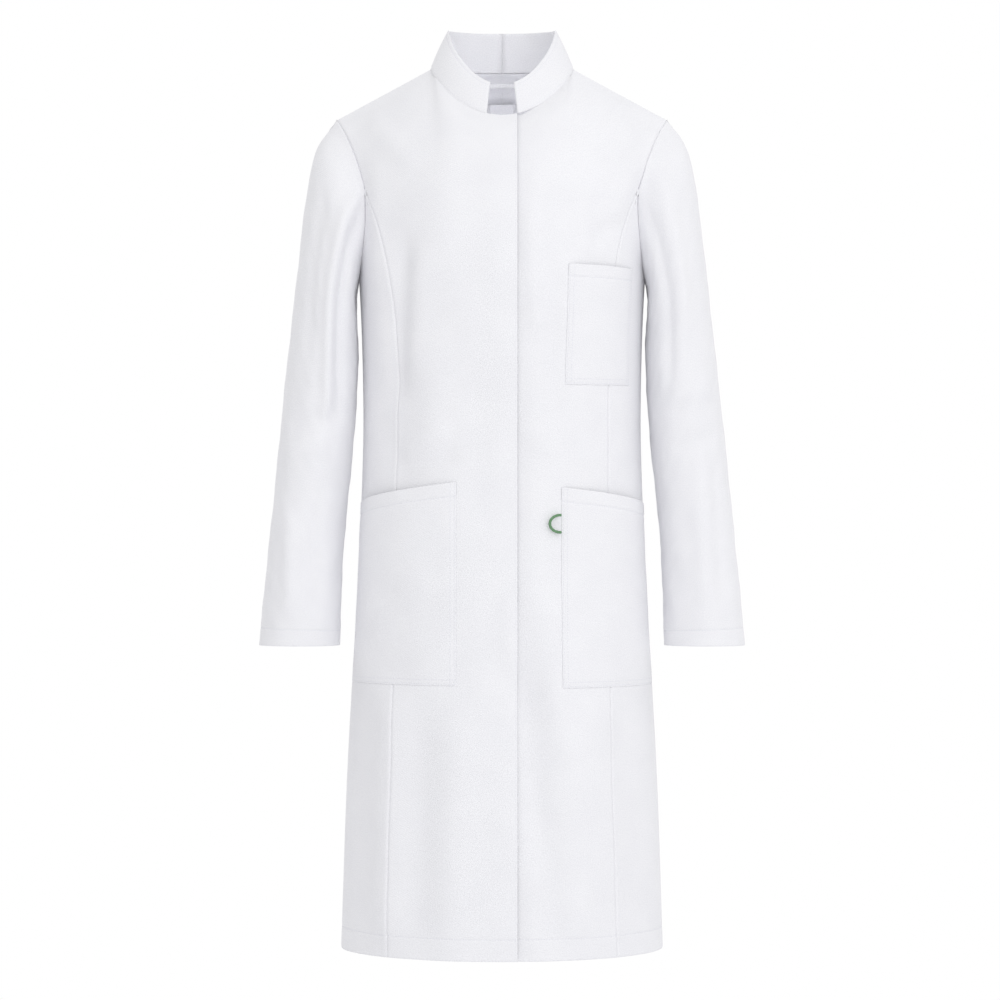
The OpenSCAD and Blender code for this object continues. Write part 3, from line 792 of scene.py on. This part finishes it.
def onBody(column, hs, f, s, off=None, lift=0.0):  # a line of sewing on a body panel
    hs = np.asarray(hs, float)
    p = column(hs)
    q, n = skin(p, hs, f), outward(p, hs, f)
    stand = hang(q, f, s, p, hs) + lift + (off(q, p, hs) if off else 0)
    flip = np.array([s, 1, 1])
    return (q + n * stand[..., None]) * flip, n * flip


def inside(column, gap):  # the same line, moved gap millimetres across
    def moved(h):
        p = column(h)
        rate = np.linalg.norm(skin(p + 0.5, h, -1) - skin(p - 0.5, h, -1), axis=-1)
        return p + gap / rate
    return moved


def hemLine(lo, hi, f, s, off=None):
    def column(h):
        return lo(h) + (hi(h) - lo(h)) * np.linspace(0.01, 0.99, len(h))
    return onBody(column, np.full(60, float(panel["hemBand"])), f, s, off, -0.35)


down = np.arange(6, coatLength - 6, 5.0)
seamDown = np.arange(6, 835, 5.0)
for s in (-1, 1):
    side = sideName(s)
    lay = underRight if s > 0 else None
    startX = -shape["notchHalf"] if s < 0 else -16
    edgeOf = lambda h, x=startX: atX(h, x)
    lines = [hemLine(edgeOf, frontSeam, -1, s, lay), onBody(inside(frontSeam, -2.4), seamDown, -1, s)]
    if s < 0:
        lines.append(onBody(inside(edgeOf, 2.0), down, -1, s))
    sewn = threadPiece(f"{side}FrontStitches", lines)
    bendFront(sewn)
    still = threadPiece(f"{side}BodyStitches", [
        hemLine(frontSeam, sideEdge, -1, s), hemLine(lambda h: 0 * h, backSeam, 1, s),
        hemLine(backSeam, sideEdge, 1, s), onBody(inside(backSeam, -2.4), seamDown, 1, s)])
    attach(still, "coat_body")
    cuffA = np.linspace(0, 360, 140)
    cuffT = 0 * cuffA + 1 - sleeve["cuffBand"] / sleeve["long"]
    cuffOut = armOut(cuffT, cuffA, s)
    cuffQ = arm(cuffT, cuffA, s) + cuffOut * (sleeveStand(cuffT, cuffA, s) + 0.05)[..., None]
    flip = np.array([s, 1, 1])
    cuff = threadPiece(f"{side}CuffStitches", [(cuffQ * flip, cuffOut * flip)])
    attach(cuff, f"{side}_arm")
    armH = np.linspace(868, 985, 40)  # on the body's side of the armhole seam
    hole = threadPiece(f"{side}ArmholeStitches", [
        onBody(inside(panelEdge(frontSeam), -3.0), armH, -1, s),
        onBody(inside(panelEdge(backSeam), -3.0), armH, 1, s)])
    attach(hole, "coat_body")
    ws = collar["end"] + (180 - collar["end"]) * np.linspace(0.02, 1, 90)
    up = np.linspace(0.06, 0.885, 14)  # shares of the collar's height between the two rows
    runs = []
    for w, u in ((ws, 0 * ws + up[-1]), (ws, 0 * ws + up[0]), (0 * up + collar["end"] + 4, up)):
        n = collarOut(w, u) * flip
        runs.append((collarSkin(w, u) * flip + n * 1.1, n))
    bendFront(threadPiece(f"{side}CollarStitches", runs))


def acrossGrid(at, runs, lines):  # the point that lies so far along each of several lines
    return np.array([[np.interp(a, run, line[:, k]) for k in range(3)]
                     for a, run, line in zip(at, runs, lines)])


for name, (grid, n, run, h, look) in pocketData.items():
    rise = (h - look["low"]).T
    columns = grid.transpose(1, 0, 2)
    lines = []
    for gap in (2.0, 6.5):  # two rows of sewing hold the sides and the foot
        lines += [(acrossGrid(0 * run[:, 0] + gap, run, grid), n[:, 0]),
                  (acrossGrid(run[:, -1] - gap, run, grid), n[:, -1]),
                  (acrossGrid(0 * rise[:, 0] + gap, rise, columns), n[0])]
    hemAt = 1 - look["hem"] / (look["highIn"] - look["low"])
    share = rise[0] / rise[0, -1]
    lines.append((acrossGrid([hemAt] * len(columns), [share] * len(columns), columns), n[-1]))
    bendFront(threadPiece(f"{name}PocketStitches", lines))
print("sewing is made")


# ---- small parts: cord loop, hanger loop, blank label and press studs
def tube(name, points, radius, around=12):
    points = np.asarray(points, float)
    along = unit(np.gradient(points, axis=0))
    up = np.array([0.0, -1.0, 0.2])
    sideways = unit(np.cross(along, up))
    up = np.cross(sideways, along)
    ring = np.arange(around) * 2 * math.pi / around
    swell = 1 + 0.06 * np.sin(np.arange(len(points)) * 1.9)
    spokes = np.cos(ring)[None, :, None] * sideways[:, None] + np.sin(ring)[None, :, None] * up[:, None]
    grid = points[:, None] + radius * swell[:, None, None] * spokes
    faces = []
    for i in range(len(points) - 1):
        for j in range(around):
            k = (j + 1) % around
            faces.append((i * around + j, i * around + k, (i + 1) * around + k, (i + 1) * around + j))
    faces += [tuple(range(around))[::-1], tuple((len(points) - 1) * around + j for j in range(around))]
    run, turn = np.meshgrid(np.arange(len(points)) * 1.0, ring * radius, indexing="ij")
    piece = newPiece(name, grid.reshape(-1, 3), faces, stack(run, turn, 0 * run).reshape(-1, 3))
    piece.data.polygons.foreach_set("use_smooth", np.ones(len(faces), bool))
    return piece


loop = {"x": 63, "z": 482, "out": 12, "tall": 19, "cord": 1.55, "lift": 4.7}
loopColumn = float(atX(np.array([loop["z"]]), loop["x"])[0])
loopQ = skin(loopColumn, loop["z"], -1)
loopN = outward(np.array(loopColumn), np.array(float(loop["z"])), -1)
loopAcross = unit(np.cross(np.array([0, 0, 1.0]), loopN))
turns = np.linspace(-90, 90, 25)
legs = [(1.2, -1.0), (0.6, -1.0)]
outline = legs + [(-loop["out"] * cosD(a), sinD(a)) for a in turns] + [(d, -k) for d, k in legs[::-1]]
loopPath = [loopQ + loopN * loop["lift"] + loopAcross * d * np.sign(loopAcross[0])
            + np.array([0, 0, k * loop["tall"] / 2]) for d, k in outline]
greenLoop = tube("greenLoop", loopPath, loop["cord"])
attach(greenLoop, "loop_flap")
dress(greenLoop, greenCord)
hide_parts("pocket_loop")

strap = [(-36, -20), (-30, -15.5), (-18, -13), (0, -12.2), (18, -13), (30, -15.5), (36, -20)]
strapX = np.linspace(-36, 36, 40)
strapZ = np.interp(strapX, [c[0] for c in strap], [c[1] for c in strap]) + coatLength
bow = 6.5 * (1 - (strapX / 36) ** 4)
backY = skin(0, 985, 1)[1] - 2.2
rowsUp = np.linspace(-2.5, 2.5, 5)
outerStrap = np.stack([stack(strapX, backY - bow, strapZ + r) for r in rowsUp])
innerStrap = outerStrap - np.array([0, 1.1, 0])
hanger = shellMesh("hangerLoop", innerStrap, outerStrap, outerStrap, flip=False)
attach(hanger, "coat_body")
dress(hanger, twill)
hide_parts("hanger_loop")

labelX, labelZ = np.meshgrid(np.linspace(-15, 15, 12), np.linspace(955, 968, 8))
labelY = np.array([skin(0, z, 1)[1] for z in labelZ[:, 0]])[:, None] - 2.6 - 0.004 * labelX**2
labelGrid = stack(labelX, labelY, labelZ)
label = shellMesh("blankLabel", labelGrid - np.array([0, 0.4, 0]), labelGrid, labelGrid, flip=False)
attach(label, "coat_body")
dress(label, labelSatin)
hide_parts("neck_label")

profiles = {  # radius and depth below the cloth's face, turned round the stud's axis
    "studSockets": ("stud_sockets", -1, [(0, -2.0), (2.3, -2.0), (2.3, -2.9), (3.2, -3.15), (4.6, -2.6),
                                         (5.6, -2.2), (5.6, -1.8), (0, -1.8)]),
    "studCaps": ("stud_caps", -1, [(0, -0.9), (4.6, -0.9), (5.0, -0.95), (5.0, -1.05), (0, -1.05)]),
    "studPosts": ("studs", 1, [(0, -2.15), (1.5, -2.2), (1.8, -2.5), (1.5, -2.85), (3.4, -3.0),
                               (5.2, -3.2), (5.2, -3.38), (0, -3.38)]),
    "studRings": ("stud_rings", 1, [(0, -4.0), (4.8, -4.0), (4.8, -4.3), (0, -4.35)]),
}
for name, (node, s, profile) in profiles.items():
    verts, faces = [], []
    around, rings = 28, len(profile)
    for height in snapHeights:
        level = np.array([float(height)])
        p = atX(level, s * snaps["x"])
        q, n = skin(p, level, -1), outward(p, level, -1)
        q, n = (q + n * hang(q, -1, s, p, level)[..., None])[0], n[0]
        q, n = q * np.array([s, 1, 1]), n * np.array([s, 1, 1])
        e1 = unit(np.cross(n, np.array([0, 0, 1.0])))
        e2 = np.cross(n, e1)
        base = len(verts)
        for r, d in profile:
            for k in range(around):
                a = 2 * math.pi * k / around
                verts.append(q + n * d + max(r, 0.02) * (math.cos(a) * e1 + math.sin(a) * e2))
        for i in range(rings):
            here, there = base + i * around, base + (i + 1) % rings * around
            for k in range(around):
                m = (k + 1) % around
                faces.append((here + k, here + m, there + m, there + k))
    piece = newPiece(name, verts, faces)
    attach(piece, "right_opening" if s < 0 else "left_opening")
    dress(piece, nickel)
    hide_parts(node)
print("small parts are made")


# ---- studio: white room light all round, a soft key from the right of the camera, a pale floor
studio = {"backWall": 1.0, "glow": 0.3, "room": 0.76, "slope": 0.25, "key": 22, "keySize": 2.2,
          "top": 4, "topSize": 1.4, "fill": 12, "fillSize": 2.5, "floor": -1.5, "floorSize": 5}
bpy.context.scene.view_settings.view_transform = "Standard"
world = bpy.data.worlds.new("studioRoom")
bpy.context.scene.world = world
world.use_nodes = True
sky = world.node_tree
backdrop = sky.nodes["Background"]
backdrop.inputs["Color"].default_value = (1, 1, 1, 1)
# the room is white behind the coat, softer in front of it, and brightest towards the key
look = addNode(sky, "ShaderNodeTexCoord").outputs["Generated"]
toKey = addNode(sky, "ShaderNodeVectorMath", {"operation": "DOT_PRODUCT", 1: (0.34, -0.92, 0.2)},
                {0: look})
sloped = addNode(sky, "ShaderNodeMath",
                 {"operation": "MULTIPLY_ADD", 1: studio["slope"], 2: studio["room"]},
                 {0: toKey.outputs["Value"]})
toBack = addNode(sky, "ShaderNodeSeparateXYZ", {}, {0: look})
behind = addNode(sky, "ShaderNodeMapRange", {1: 0.25, 2: 0.7}, {0: toBack.outputs["Y"]})
bright = addNode(sky, "ShaderNodeMix", {3: studio["backWall"]},
                 {0: behind.outputs[0], 2: sloped.outputs[0]})
sky.links.new(bright.outputs[0], backdrop.inputs["Strength"])


def softLight(name, place, energy, size):
    data = bpy.data.lights.new(name, "AREA")
    data.energy = energy
    data.size = size
    light = bpy.data.objects.new(name, data)
    light.location = place
    aim = np.array([0, 0, -0.45]) - np.array(place)
    light.rotation_euler = (math.atan2(math.hypot(aim[0], aim[1]), -aim[2]), 0,
                            math.atan2(aim[1], aim[0]) - math.pi / 2)
    bpy.context.scene.collection.objects.link(light)
    return light


softLight("key", (1.35, -3.3, 0.9), studio["key"], studio["keySize"])
softLight("top", (0.0, -1.3, 2.4), studio["top"], studio["topSize"])
glow = bpy.data.lights.new("insideGlow", "POINT")  # stands for the light that comes in through the cloth
glow.energy = studio["glow"]
glow.shadow_soft_size = 0.03
glowLamp = bpy.data.objects.new("insideGlow", glow)
glowLamp.location = (0, -0.02, -0.2)
bpy.context.scene.collection.objects.link(glowLamp)
softLight("backFill", (-2.4, 3.0, 1.2), studio["fill"], studio["fillSize"])
floorMesh = bpy.data.meshes.new("floor")
w = studio["floorSize"] / 2
floorMesh.from_pydata([(x, y, studio["floor"]) for x, y in ((-w, -w), (w, -w), (w, w), (-w, w))],
                      [], [(0, 1, 2, 3)])
floor = bpy.data.objects.new("floor", floorMesh)
bpy.context.scene.collection.objects.link(floor)
floorPaint = bpy.data.materials.new("paleFloor")
floorPaint.use_nodes = True
floorPaint.node_tree.nodes["Principled BSDF"].inputs["Base Color"].default_value = linear("#f4f4f6")
floorPaint.node_tree.nodes["Principled BSDF"].inputs["Roughness"].default_value = 0.8
floorMesh.materials.append(floorPaint)

print("finishing")
